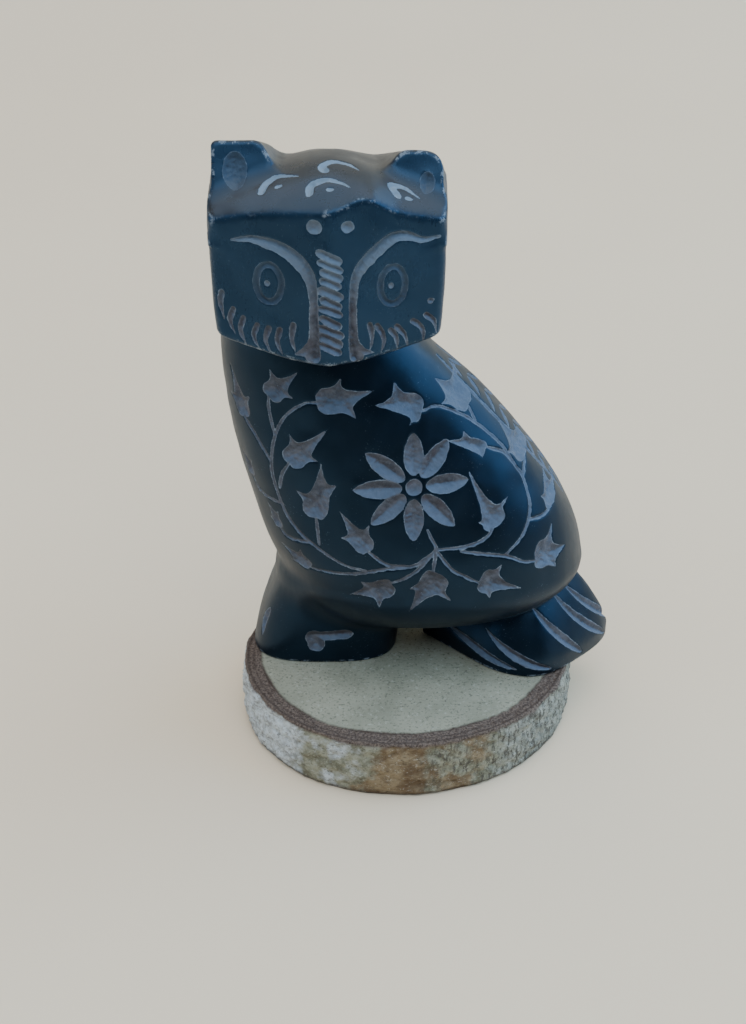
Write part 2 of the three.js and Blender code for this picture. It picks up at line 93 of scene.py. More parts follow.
CAMERA = dict(lens=63.28, sensor=36.0, place=(-0.0059, -0.2441, 0.1829), tilt=59.0)


def add_camera():
    data = bpy.data.cameras.new("camera")
    data.lens = CAMERA["lens"]
    data.sensor_width = CAMERA["sensor"]
    camera = bpy.data.objects.new("camera", data)
    camera.location = CAMERA["place"]
    camera.rotation_euler = (math.radians(CAMERA["tilt"]), 0.0, 0.0)
    bpy.context.collection.objects.link(camera)
    bpy.context.scene.camera = camera


# ------------------------------------------------------------------ small maths

def unit(v):
    return v / np.maximum(np.linalg.norm(v, axis=-1, keepdims=True), 1e-12)


def smoothstep(low, high, value):
    t = np.clip((value - low) / (high - low), 0, 1)
    return t * t * (3 - 2 * t)


def soft_min(a, b, k):
    h = np.clip(0.5 + 0.5 * (b - a) / k, 0, 1)
    return b * (1 - h) + a * h - k * h * (1 - h)


def soft_max(a, b, k):
    return -soft_min(-a, -b, k)


def natural_spline(knots, values):
    """The natural cubic spline through `values` at `knots`, as a function."""
    gaps = np.diff(knots)
    n = len(knots)
    system = np.eye(n)
    right = np.zeros(n)
    for i in range(1, n - 1):
        system[i, i - 1 : i + 2] = gaps[i - 1], 2 * (gaps[i - 1] + gaps[i]), gaps[i]
        right[i] = 6 * ((values[i + 1] - values[i]) / gaps[i] - (values[i] - values[i - 1]) / gaps[i - 1])
    bend = np.linalg.solve(system, right)

    def at(x):
        i = np.clip(np.searchsorted(knots, x) - 1, 0, n - 2)
        gap = gaps[i]
        a, b = (knots[i + 1] - x) / gap, (x - knots[i]) / gap
        curve = (a**3 - a) * bend[i] + (b**3 - b) * bend[i + 1]
        return a * values[i] + b * values[i + 1] + curve * gap**2 / 6

    return at


def smooth_path(points, step):
    """Points about `step` apart on a Catmull-Rom curve through `points`."""
    points = np.asarray(points, float)
    if len(points) == 2:
        count = max(2, int(np.linalg.norm(points[1] - points[0]) / step) + 1)
        return points[0] + np.linspace(0, 1, count)[:, None] * (points[1] - points[0])
    ends = [2 * points[0] - points[1], *points, 2 * points[-1] - points[-2]]
    out = []
    for a, b, c, d in zip(ends, ends[1:], ends[2:], ends[3:]):
        count = max(2, int(np.linalg.norm(c - b) / step) + 1)
        t = np.linspace(0, 1, count, endpoint=False)[:, None]
        cubic = 2 * b + (c - a) * t + (2 * a - 5 * b + 4 * c - d) * t**2 + (3 * b - a - 3 * c + d) * t**3
        out.append(cubic / 2)
    return np.vstack([*out, points[-1:]])


def waves(points, length, seed, count=14):
    """A smooth random field from -1 to 1 or so, with bumps about `length` apart."""
    random = np.random.default_rng(SEED + seed)
    directions = unit(random.normal(size=(count, 3)))
    pitch = 2 * np.pi / (length * random.uniform(0.7, 1.5, count))
    phase = random.uniform(0, 2 * np.pi, count)
    return np.sin(points @ (directions * pitch[:, None]).T + phase).sum(axis=1) / math.sqrt(count)


# ------------------------------------------------------------------ the owl's form

BREAST, BACK, DEPTH = (natural_spline(BODY_STATIONS[:, 0], BODY_STATIONS[:, i]) for i in (1, 2, 3))


def body_form(x, y, z):
    height = np.clip(z, BODY["belly"], BODY_STATIONS[-1, 0])
    breast, back, depth = BREAST(height), BACK(height), DEPTH(height)
    drop = np.clip(BODY["belly"] - z, 0, None)
    middle = (breast + back) / 2 - BODY["lean"] * np.minimum(drop, BODY["depth"]) ** 2 / BODY["depth"]
    u, v = 2 * np.abs(x - middle) / (back - breast), np.abs(y - MID_Y) / depth
    across = (u ** BODY["squareness"] + v ** BODY["squareness"]) ** (1 / BODY["squareness"])
    q = np.sqrt(across**2 + (drop / BODY["depth"]) ** 2)
    return soft_max((q - 1) * BODY["scale"], z - BODY["top"], 3.0)


def crown_z(x, y):
    across = x - HEAD["x"]
    bump = BROW_BUMP["height"] * np.exp(-(((x - BROW_BUMP["x"]) / BROW_BUMP["width"]) ** 2))
    fade = np.clip(1 - (y + BROW_BUMP["reach"]) / BROW_BUMP["reach"], 0, 1)
    edge = CROWN["edge"] + CROWN["arch"] * (1 - (across / HEAD["half"]) ** 2) + bump * fade
    back = np.clip(y - HEAD["ridge_y"] - HEAD["slope"] * np.abs(across), 0, None)
    side = 1 - np.exp(-((across / CROWN["dip_width"]) ** 2))
    dip = CROWN["dip"] * side * np.clip(back / CROWN["dip_reach"], 0, 1)
    return edge + CROWN["rise"] * back - CROWN["fall"] * back**2 - dip


def head_form(x, y, z):
    across = x - HEAD["x"]
    facet = unit(np.array([HEAD["slope"], 1.0]))
    left = -((y - HEAD["ridge_y"]) * facet[1] - across * facet[0])
    right = -((y - HEAD["ridge_y"]) * facet[1] + across * facet[0])
    below = np.clip(HEAD["taper_from"] - z, 0, HEAD["taper_reach"])
    side = np.abs(across) - (HEAD["half"] - HEAD["taper"] * below**2)
    round_back = np.hypot(across / (HEAD["half"] + 0.2), (y - HEAD["side_end"]) / HEAD["back"])
    behind = np.where(y > HEAD["side_end"], (round_back - 1) * HEAD["scale"], -5)
    jaw = HEAD["chin"] + HEAD["jaw"] * np.clip(np.abs(across) / HEAD["half"], 0, 1.2) ** 1.6
    d = soft_max(soft_max(left, right, 0.3), side, 1.2)
    d = soft_max(d, behind, 2.0)
    d = soft_max(d, (jaw - z) * 0.95, 0.8)
    return soft_max(d, (z - crown_z(x, y)) * 0.8, 0.5)


def ears_form(x, y, z):
    both = []
    for ear in EARS:
        s = (x - HEAD["x"]) * ear["side"]
        inner = (ear["root"] + (z - ear["root_z"]) * ear["splay"] - s) * 0.85
        front = -(y - EAR["front_y"] - (z - EAR["front_z"]) * EAR["front_lean"]) * 0.9
        behind = (y - EAR["back_y"] + (z - EAR["back_z"]) * EAR["back_lean"]) * 0.8
        top = (z - ear["tip"] + EAR["fall"] * (y - EAR["front_y"])) * 0.9
        d = soft_max(s - EAR["outer"], top, ear["round"])
        d = soft_max(soft_max(d, inner, 1.0), front, 0.5)
        both.append(np.maximum(soft_max(d, behind, 1.5), EAR["foot"] - z))
    return np.minimum(*both)


def foot_form(x, y, z):
    t = np.clip((z - GROUND) / FOOT["height"], 0, 1)
    length = FOOT["half_length"] - FOOT["taper"] * t**2
    u, v = (x - FOOT["x"] - FOOT["lean"] * t) / length, (y - MID_Y) / FOOT["half_depth"]
    q = (np.abs(u) ** 3 + np.abs(v) ** 3) ** (1 / 3)
    return soft_max((q - 1) * FOOT["half_depth"], z - FOOT["top"], 3.0)


def tail_form(x, y, z):
    inset = TAIL["slope"] * np.clip(z - TAIL["rim_top"], 0, None) ** TAIL["power"]
    side, along = np.abs(y - MID_Y), x - TAIL["root_x"]
    reach = TAIL["fan_x"] - TAIL["root_x"]
    b = (TAIL["root_r"] - TAIL["fan_r"]) / reach
    a = math.sqrt(1 - b * b)
    k = a * along - b * side
    straight = a * side + b * along - TAIL["root_r"]
    fan = np.where(k > a * reach, np.hypot(side, along - reach) - TAIL["fan_r"], straight)
    fan = np.where(k < 0, np.hypot(side, along) - TAIL["root_r"], fan)
    corner = math.sqrt(0.5) * (x - TAIL["fan_x"] + side) - TAIL["corner"]
    d = soft_max(fan + inset, corner + inset, 3.0)
    return soft_max(d * 0.85, z - TAIL["top"], 2.0)


def owl_form(p):
    """Signed distance, roughly, to the owl without its carving: negative inside."""
    x, y, z = p[..., 0], p[..., 1], p[..., 2]
    d = soft_min(body_form(x, y, z), foot_form(x, y, z), 2.5)
    d = soft_min(d, tail_form(x, y, z), 0.5)
    d = soft_min(d, soft_min(head_form(x, y, z), ears_form(x, y, z), 1.2), 0.5)
    return soft_max(d, GROUND - z, 0.4)


AXES = np.eye(3)


def slope_of(p, step=0.02):
    return np.stack([(owl_form(p + a * step) - owl_form(p - a * step)) / (2 * step) for a in AXES], -1)


def settle(p, times=3):
    """Points moved onto the form, and the outward directions there."""
    for _ in range(times):
        slope = slope_of(p)
        steep = np.maximum((slope**2).sum(-1, keepdims=True), 0.05)
        p = p - np.clip(owl_form(p)[:, None] / steep, -0.6, 0.6) * slope
    return p, unit(slope_of(p))


def sharpness(p, step=0.5):
    """How strongly the form bends: 1 / radius at an edge, negative in a hollow."""
    total = sum(owl_form(p + a * step) + owl_form(p - a * step) for a in AXES)
    return (total - 6 * owl_form(p)) / step**2


LOOK_STEP = 0.4  # how far apart a line is tried for the form


def first_touch(starts, travel, reach):
    """Where lines from `starts` along `travel` first meet the form, or pass nearest to it."""
    steps = np.arange(0, reach, LOOK_STEP)
    value = owl_form(starts[:, None, :] + steps[None, :, None] * travel[:, None, :])
    meets = (value < 0).any(axis=1)
    far = np.where(meets, steps[(value < 0).argmax(axis=1)], steps[value.argmin(axis=1)])
    near = np.where(meets, far - LOOK_STEP, far)
    for _ in range(12):
        middle = (near + far) / 2
        hit = owl_form(starts + middle[:, None] * travel) < 0
        far, near = np.where(hit, middle, far), np.where(hit, near, middle)
    return settle(starts + far[:, None] * travel)[0]


# ------------------------------------------------------------------ tools
# Each turns flat points, in millimetres or in degrees and millimetres, into points on the form.

def from_front(points):
    starts = np.column_stack([points[:, 0], np.full(len(points), -30.0), points[:, 1]])
    return first_touch(starts, np.tile([0.0, 1.0, 0.0], (len(points), 1)), 60)


def from_behind(points):
    starts = np.column_stack([points[:, 0], np.full(len(points), 40.0), points[:, 1]])
    return first_touch(starts, np.tile([0.0, -1.0, 0.0], (len(points), 1)), 60)


def from_above(points):
    starts = np.column_stack([points, np.full(len(points), 110.0)])
    return first_touch(starts, np.tile([0.0, 0.0, -1.0], (len(points), 1)), 60)


def from_spine(points):
    starts = np.column_stack([np.full(len(points), 45.0), points])
    return first_touch(starts, np.tile([-1.0, 0.0, 0.0], (len(points), 1)), 70)


TAIL_START = 18  # clear of the fan, but not as far out as the foot


def round_tail(points):
    angle = np.radians(points[:, 0])
    out = np.column_stack([np.cos(angle), np.sin(angle), np.zeros(len(points))])
    middle = np.column_stack([np.full(len(points), TAIL["fan_x"]), np.full(len(points), MID_Y), points[:, 1]])
    return first_touch(middle + TAIL_START * out, -out, 30)


# ------------------------------------------------------------------ strokes and leaves

def hump(t):
    return np.clip(np.sin(np.pi * np.clip(t, 0, 1)), 0, 1)


# How a stroke's width runs from its start, 0, to its end, 1.
PROFILES = {
    "even": lambda t: 0.3 + 0.7 * np.clip(np.minimum(9 * t, 9 * (1 - t)), 0, 1),
    "stem": lambda t: 0.55 + 0.45 * hump(t) ** 0.5,
    "spindle": lambda t: hump(t**0.85) ** 0.8,
    "groove": lambda t: hump(t**1.3) ** 0.7,
    "petal": lambda t: hump(t**0.82) ** 0.72,
    "drop": lambda t: np.sqrt(hump(t**0.5)) * (1 - 0.5 * t),
    "brow": lambda t: np.interp(t, BROW_PLACES, BROW_WIDTHS),
}
BROW_PLACES = [0, 0.11, 0.22, 0.33, 0.42, 0.5, 0.58, 0.7, 0.88, 1]
BROW_WIDTHS = [0.2, 0.5, 0.8, 0.95, 1, 0.88, 0.68, 0.6, 0.72, 1.1]
PATH_STEP, ANGLE_STEP = 0.35, 3.0  # millimetres, and degrees round the tail
FAR, BEYOND = 9.0, 5.0  # the distances given far from one cut, and far from them all
MARGIN, SCOOP_MARGIN = 1.5, 1.2  # how far round a cut its rim is still measured


class Stroke:
    """A V-shaped cut along a line on the form; `lean`, -1 to 1, puts its deepest line off centre."""

    def __init__(self, tool, path, width, depth, profile="even", lean=0.0, closed=False):
        step = ANGLE_STEP if tool is round_tail else PATH_STEP
        curve = smooth_path([*path, path[0]] if closed else path, step)
        self.line = tool(curve)
        reach = np.linalg.norm(np.diff(self.line, axis=0), axis=1)
        t = np.concatenate([[0], np.cumsum(reach)]) / reach.sum()
        size = np.ones_like(t) if closed else np.maximum(PROFILES[profile](t), 0.05)
        self.half, self.deep, self.lean = width / 2 * size, depth * size**0.8, lean
        self.up = unit(slope_of(self.line))
        self.centre = self.line.mean(axis=0)
        self.reach = np.linalg.norm(self.line - self.centre, axis=1).max() + width

    def cut(self, p):
        """Distance outside the cut's rim and depth of the cut, at each point."""
        rim, deep = np.full(len(p), FAR), np.zeros(len(p))
        for a, b, up, h0, h1, d0, d1 in zip(
            self.line, self.line[1:], self.up, self.half, self.half[1:], self.deep, self.deep[1:]
        ):
            along = b - a
            length = max(along @ along, 1e-9)
            t = np.clip((p - a) @ along / length, 0, 1)
            off = p - a - t[:, None] * along
            distance = np.linalg.norm(off, axis=1)
            side = np.sign(off @ np.cross(up, along))
            half = h0 + (h1 - h0) * t
            here = distance - half
            slant = side * distance / half
            wall = np.minimum((1 + slant) / (1 + self.lean), (1 - slant) / (1 - self.lean))
            nearer = here < rim
            rim = np.where(nearer, here, rim)
            deep = np.maximum(deep, (d0 + (d1 - d0) * t) * np.clip(wall, 0, 1))
        return rim, deep


class Scoop:
    """A V-cut area inside an outline that lies on the form, seen in its own flat frame."""

    def __init__(self, tool, outline, middle, slope, deepest):
        ring = tool(np.asarray(outline, float))
        self.centre = tool(np.asarray([middle], float))[0]
        self.normal = unit(slope_of(self.centre))
        self.e1 = unit(np.cross([0.31, 0.17, 0.93], self.normal))
        self.e2 = np.cross(self.normal, self.e1)
        self.ring = self.flat(ring)
        self.slope, self.deepest = slope, deepest
        self.reach = np.linalg.norm(ring - self.centre, axis=1).max() + SCOOP_MARGIN

    def flat(self, p):
        return np.stack([(p - self.centre) @ self.e1, (p - self.centre) @ self.e2], -1)

    def cut(self, p):
        q = self.flat(p)
        nearest = np.full(len(q), 1e9)
        inside = np.zeros(len(q), bool)
        for a, b in zip(self.ring, np.roll(self.ring, -1, axis=0)):
            along = b - a
            t = np.clip((q - a) @ along / max(along @ along, 1e-9), 0, 1)
            nearest = np.minimum(nearest, np.linalg.norm(q - a - t[:, None] * along, axis=1))
            crosses = (a[1] > q[:, 1]) != (b[1] > q[:, 1])
            rise = along[1] if abs(along[1]) > 1e-12 else 1e-12
            inside ^= crosses & (q[:, 0] < a[0] + (q[:, 1] - a[1]) * along[0] / rise)
        rim = np.where(inside, -nearest, nearest)
        deep = np.where(inside, self.deepest * (1 - np.exp(-nearest * self.slope / self.deepest)), 0)
        return rim, deep


LEAF = dict(slope=0.62, deepest=1.0)


def leaf(tool, base, tip, left, right):
    """A tulip-shaped scoop of three points, with a round foot at its stem."""
    base, tip = np.array(base, float), np.array(tip, float)
    along = tip - base
    left, right = np.array(left, float), np.array(right, float)

    def lobe(point):
        """From the base round the leaf's foot out to a side claw, and in and up to the tip."""
        out = point - base
        share = out @ along / (along @ along)
        side = out - share * along
        rest = max(1 - share, 0.2)
        places = ((0.36, 0.0), (0.62, 0.25 * share), (0.66, 0.66 * share))
        bulb = [base, *(base + u * side + v * along for u, v in places), point]
        places = ((0.55, share - 0.02), (0.34, share + 0.12 * rest), (0.15, share + 0.5 * rest))
        claw = [point, *(base + u * side + v * along for u, v in places), tip]
        return smooth_path(bulb, 0.4)[:-1], smooth_path(claw, 0.4)[:-1]

    (out_a, in_a), (out_b, in_b) = lobe(left), lobe(right)
    outline = np.vstack([out_a, in_a, tip[None], in_b[:0:-1], right[None], out_b[:0:-1]])
    return Scoop(tool, outline, base + 0.45 * along, LEAF["slope"], LEAF["deepest"])


# The vine on the flank, as x and z, from the root below the flower outwards.
STEMS = [
    [
        [2.4, 39.5], [3.2, 37.8], [3.7, 36.3], [1.6, 34.5], [0.1, 33.6], [-4.2, 32.9],
        [-9, 31.5], [-13.4, 31], [-15.7, 30.9],
    ],
    [[0.1, 33.6], [-3.5, 33.7], [-5.9, 35.2], [-6.7, 35.8]],
    [
        [-7, 32.4], [-10.5, 33], [-14.8, 35.4], [-17.6, 37.6], [-19.6, 40.6], [-20.9, 44.5],
        [-21.4, 48.1], [-20.7, 53], [-19.1, 56.5], [-16.4, 58.8], [-14.2, 59.2],
    ],
    [[-20.7, 53], [-21.5, 57.1], [-21.5, 59.3]],
    [[-21.5, 48.6], [-23.7, 52.2], [-25.5, 55]],
    [[-20.2, 44.2], [-19.7, 46.9], [-18.6, 48.9]],
    [[-19.7, 41.4], [-23.2, 41.9], [-24.6, 44.2]],
    [[-15.3, 35.9], [-19, 35.5], [-20.3, 36.7]],
    [[-14.2, 35.8], [-14.6, 40.4]],
    [[3.7, 36.3], [1.1, 33.1], [-1.1, 31.4], [-3.1, 30.5]],
    [[3.7, 36.3], [3.6, 34.9], [3.3, 32.7]],
    [[3.7, 36.3], [6.2, 33], [8.3, 31.6], [10.5, 30.3]],
    [[3.7, 36.3], [8.6, 36.6], [11.4, 37.6], [12.4, 38.8]],
    [[7.5, 35.9], [14.3, 34.3], [17.5, 32.7], [19.3, 32.3]],
    [
        [14.3, 34.3], [16.9, 36.5], [18.1, 38.8], [18.3, 41.2], [17.3, 44.5], [16, 46.5],
        [13.6, 50], [10, 53.6], [6.9, 55.9], [3.6, 57.5], [1.4, 57.2],
    ],
    [[16, 46.5], [14.1, 48.8], [11.5, 50.3]],
    [[18.1, 38.8], [20.3, 38.5], [21.9, 38.9]],
    [[17.3, 44.5], [17.6, 46.7]],
    [[9.8, 53.8], [8.6, 56.2]],
]

# Leaves: the end of the stem, the tip, and the two side points.
LEAVES = [
    [[-15.7, 30.9], [-20.2, 33.6], [-17.2, 34.0], [-18.8, 30.9]],
    [[-6.7, 35.8], [-11.1, 42.3], [-10.9, 37.7], [-6.4, 40.3]],
    [[-14.2, 59.3], [-5.6, 60.9], [-10.6, 63.0], [-8.4, 56.8]],
    [[-21.5, 59.3], [-16.9, 63.8], [-21.2, 63.8], [-17.7, 59.6]],
    [[-25.4, 54.8], [-27.3, 63.0], [-24.4, 58.6], [-27.7, 58.0]],
    [[-18.6, 48.9], [-12.4, 55.4], [-18.5, 53.9], [-14.1, 49.9]],
    [[-24.6, 44.2], [-26.2, 48.6], [-24.6, 47.2], [-25.9, 45.4]],
    [[-20.3, 36.7], [-22.3, 40.6], [-20.6, 39.6], [-22.3, 37.8]],
    [[-14.6, 40.4], [-13.7, 49.6], [-17.7, 44.6], [-11.3, 46.4]],
    [[-3.1, 30.5], [-9.6, 27.2], [-7.8, 30.2], [-4.9, 25.3]],
    [[3.3, 32.7], [-0.4, 24.8], [-0.3, 29.5], [6.3, 27.1]],
    [[10.5, 30.3], [17.3, 28.2], [14.3, 33.4], [12.3, 27.0]],
    [[12.4, 38.8], [8.5, 48.0], [14.9, 43.1], [9.9, 40.1]],
    [[19.3, 32.3], [24.4, 32.5], [22.0, 36.8], [22.9, 29.8]],
    [[21.9, 38.9], [20.7, 43.6], [22.9, 41.6], [20.1, 41.0]],
    [[17.6, 46.7], [13.3, 52.6], [17.2, 50.0], [14.5, 48.6]],
    [[1.4, 57.2], [-5.7, 58.7], [-2.8, 61.8], [-0.6, 55.2]],
    [[8.6, 56.2], [3.3, 60.9], [6.5, 60.6], [4.4, 57.6]],
    [[11.2, 50.1], [4.9, 52.7], [7.8, 53.4], [10.2, 48.2]],
]
REAR_STEMS = [0, 2, 5, 12, 14]  # the far flank is plainer
REAR_LEAVES = [0, 2, 5, 12, 16]
FLOWER = dict(x=0.3, z=46.2, inner=2.05, eye=1.3, eye_slope=0.5, eye_depth=0.35)
# Each petal's direction and how far out it ends.
PETALS = [(91, 8.1), (52, 8.3), (3, 8.2), (-45, 8.8), (-90, 8.4), (-138, 8.7), (-177, 9.2), (144, 9.0)]
# The width and depth of each kind of stroke.
STROKES = dict(
    stem=(0.62, 0.26), petal=(3.1, 0.85), eye_ring=(1.05, 0.34), cheek=(1.1, 0.42), crescent=(1.35, 0.5),
    dash=(0.7, 0.25), spine=(0.8, 0.32), feather=(1.0, 0.36), groove=(1.75, 0.7),
)
BROW_DEPTH, BEAK_DEPTH, FOOT_DEPTH = 0.75, 0.55, 0.5


def flank_carving(tool, stems, leaves):
    cuts = [Stroke(tool, path, *STROKES["stem"], "stem") for path in stems]
    cuts += [leaf(tool, *points) for points in leaves]
    for degrees, outer in PETALS:
        x, z = math.cos(math.radians(degrees)), math.sin(math.radians(degrees))
        ends = [[FLOWER["x"] + r * x, FLOWER["z"] + r * z] for r in (FLOWER["inner"], outer)]
        cuts.append(Stroke(tool, ends, *STROKES["petal"], "petal"))
    eye = (FLOWER["eye"], FLOWER["eye"])
    cuts.append(dish(tool, (FLOWER["x"], FLOWER["z"]), eye, FLOWER["eye_slope"], FLOWER["eye_depth"]))
    return cuts


def oval(middle, radii, count):
    angle = np.linspace(0, 2 * np.pi, count, endpoint=False)
    return np.column_stack([middle[0] + radii[0] * np.cos(angle), middle[1] + radii[1] * np.sin(angle)])


def dish(tool, middle, radii, slope, deepest):
    """A round or oval hollow."""
    return Scoop(tool, oval(middle, radii, 28), middle, slope, deepest)


# The face, as x and z. A brow also has its width and its lean.
BROWS = [
    ([[-25.7, 85.9], [-23, 86.3], [-20.5, 85.9], [-18.1, 85.0], [-16.1, 83.4], [-14.9, 81.6],
      [-14.4, 79.5], [-14.3, 77.2], [-14.3, 74.8], [-14.3, 72.4], [-14.5, 69.2]], 2.15, 0.6),
    ([[3.5, 86.2], [1.2, 85.9], [-1.0, 86.7], [-2.9, 86.7], [-4.7, 85.5], [-6.4, 83.9], [-7.8, 82.2],
      [-8.5, 80.2], [-8.7, 77.2], [-8.7, 74.1], [-8.6, 71.3], [-8.2, 69.0]], 1.9, -0.6),
]
FLARES = [
    [[-14.7, 73.2], [-13.8, 72.2], [-13.6, 68.9], [-17.2, 69.2], [-16.2, 70.2], [-15.3, 71.4]],
    [[-8.7, 73.2], [-7.9, 71.3], [-6.9, 70.1], [-5.6, 69.3], [-9.2, 68.9], [-9.1, 71.2]],
]
EYES = [((-20.6, 79.9), (1.8, 2.85)), ((-3.1, 79.5), (1.75, 2.85))]
BROW_DOTS = [((-14.0, 89.0), 1.1), ((-9.4, 88.9), 0.9)]
CHEEKS = [
    [[-27.4, 78.1], [-27.7, 76], [-27.2, 73.5]],
    [[-25.8, 75.6], [-26.4, 73.5], [-25.7, 71.3]],
    [[-24.4, 74.4], [-24.9, 72], [-24.1, 69.8]],
    [[-22.4, 73.5], [-23.0, 71.4], [-22.2, 69.4]],
    [[-20.7, 73.3], [-21.3, 71], [-20.6, 69]],
    [[-19.1, 73.2], [-19.6, 71], [-18.8, 68.8]],
    [[-17.2, 74.2], [-17.5, 71.6], [-16.9, 69.2]],
    [[-6.4, 74.1], [-6.0, 71.8], [-6.3, 69.7]],
    [[-5.4, 73.8], [-4.3, 71.4], [-4.8, 69]],
    [[-3.5, 72.8], [-2.5, 71.2], [-2.4, 69.2]],
    [[-2.7, 73.3], [-1.3, 71.5], [-0.9, 69.5]],
    [[-0.4, 73.9], [1.2, 72.2], [1.4, 70]],
    [[1.5, 74.6], [2.9, 73.2], [3.3, 71.2]],
    [[1.9, 76.4], [3.1, 76.7]],
]
BEAK = dict(left=-13.4, middle=-12.0, right=-10.4, top=85.2, foot=70.9, strokes=11, drop=1.2, width=1.35)
# The crown, as x and y.
CRESCENTS = [
    [[-21.6, -6.8], [-20.8, -5.1], [-19.1, -4.2], [-16.2, -5.3]],
    [[-14.7, -9.2], [-14.4, -7.6], [-12.4, -7.2], [-10.6, -7.6], [-8.8, -8.9]],
    [[-12.3, -5.6], [-13.0, -4.3], [-11.5, -3.1], [-9.5, -3.5], [-7.7, -5.0]],
    [[-2.2, -7.4], [-3.4, -5.8], [-1.6, -5.2], [0.8, -6.3]],
]
DASHES = [[[-19.6, -6.4], [-18.4, -6.2]], [[-12.4, -8.9], [-11.2, -8.8]], [[-1.6, -7.0], [-0.3, -6.8]]]
# Each hollow's middle, radii and depth.
EAR_HOLLOWS = [((-25.3, 94.0), (1.75, 2.35), 0.9), ((1.75, 92.5), (1.1, 1.3), 0.7)]


def eye_carving():
    """The cuts that took the dye: the rings round the eyes, and the ears' hollows."""
    rings = [oval(middle, radii, 24).tolist() for middle, radii in EYES]
    cuts = [Stroke(from_front, ring, *STROKES["eye_ring"], closed=True) for ring in rings]
    return cuts + [dish(from_front, place, radii, 0.75, deep) for place, radii, deep in EAR_HOLLOWS]


def face_carving():
    cuts = [Stroke(from_front, path, width, BROW_DEPTH, "brow", lean) for path, width, lean in BROWS]
    cuts += [Scoop(from_front, outline, np.mean(outline, axis=0), 0.4, 0.5) for outline in FLARES]
    cuts += [dish(from_front, (x - 0.2, z), (0.4, 0.48), 0.9, 0.4) for (x, z), _ in EYES]
    cuts += [dish(from_front, place, (radius, radius), 0.9, 0.8) for place, radius in BROW_DOTS]
    cuts += [Stroke(from_front, path, *STROKES["cheek"], "drop") for path in CHEEKS]
    random = np.random.default_rng(SEED)
    for z in np.linspace(BEAK["top"], BEAK["foot"], BEAK["strokes"]):
        a, b, c, tilt = random.uniform(-0.3, 0.3, 4)  # no two strokes are alike
        right = [BEAK["right"] + b, z - BEAK["drop"] + tilt]
        path = [[BEAK["left"] + a, z + 0.2], [BEAK["middle"], z - 0.3 + tilt], right]
        cuts.append(Stroke(from_front, path, BEAK["width"] + c, BEAK_DEPTH, "even"))
    cuts += [Stroke(from_above, path, *STROKES["crescent"], "drop") for path in CRESCENTS]
    cuts += [Stroke(from_above, path, *STROKES["dash"], "spindle") for path in DASHES]
    return cuts


# Half the width of the back's feather panel, and height.
SPINE_LINE = [[1.8, 62.5], [3.5, 57], [3.7, 52], [2.6, 45], [0.6, 38]]
FEATHERS = dict(count=8, top=61, foot=42, drop=2.2)
GROOVES = [  # angle round the fan and height, from start to end
    [[-168, 14.2], [-104, 11.2]],
    [[-137, 16.5], [-77, 10.9]],
    [[-97, 21.2], [-41, 10.9]],
    [[-68, 22.4], [-6, 10.8]],
    [[-42, 23.2], [13, 11.2]],
    [[68, 22.4], [40, 10.8]],
    [[97, 21.2], [70, 10.9]],
    [[137, 16.5], [100, 10.9]],
]
FOOT_STROKES = [
    ([[-16.6, 15.2], [-13.2, 15.3], [-9.3, 15.7]], 1.85, "even"),
    ([[-15.7, 15.2], [-15.2, 14.3], [-15.1, 13.3]], 2.8, "even"),
    ([[-22.6, 18.6], [-23.6, 16], [-24.1, 13.2]], 1.5, "spindle"),
]


def spine_and_tail_carving():
    cuts = []
    across_line, heights = np.array(SPINE_LINE[::-1]).T
    for side in (-1, 1):
        line = [[MID_Y + side * across, z] for across, z in SPINE_LINE]
        cuts.append(Stroke(from_spine, line, *STROKES["spine"], "stem"))
        for z in np.linspace(FEATHERS["top"], FEATHERS["foot"], FEATHERS["count"]):
            half = np.interp(z, heights, across_line)
            ends = [[MID_Y + side * 0.25, z], [MID_Y + side * half * 0.85, z - FEATHERS["drop"]]]
            cuts.append(Stroke(from_spine, ends, *STROKES["feather"], "spindle"))
    cuts += [Stroke(round_tail, ends, *STROKES["groove"], "groove") for ends in GROOVES]
    cuts += [Stroke(from_front, path, width, FOOT_DEPTH, profile) for path, width, profile in FOOT_STROKES]
    return cuts


class Carving:
    """All the cuts of the owl: distance to the nearest rim, and depth."""

    def __init__(self, cuts):
        self.cuts = cuts

    def at(self, p):
        rim, deep = np.full(len(p), BEYOND), np.zeros(len(p))
        for cut in self.cuts:
            near = np.nonzero(((p - cut.centre) ** 2).sum(axis=1) < (cut.reach + MARGIN) ** 2)[0]
            if len(near):
                here, depth = cut.cut(p[near])
                rim[near] = np.minimum(rim[near], here)
                deep[near] = np.maximum(deep[near], depth)
        return rim, deep


# ------------------------------------------------------------------ meshing

# The first grid and its corners, how often edges are split, and the edges' lengths.
MESH = dict(
    low=(-31.5, -15.0, GROUND - 0.75), high=(36.0, 23.5, 100.5), cell=0.9, rounds=5, split=1.35,
    at_cut=0.242, at_bend=0.3, finest=0.2, coarsest=1.0,
)


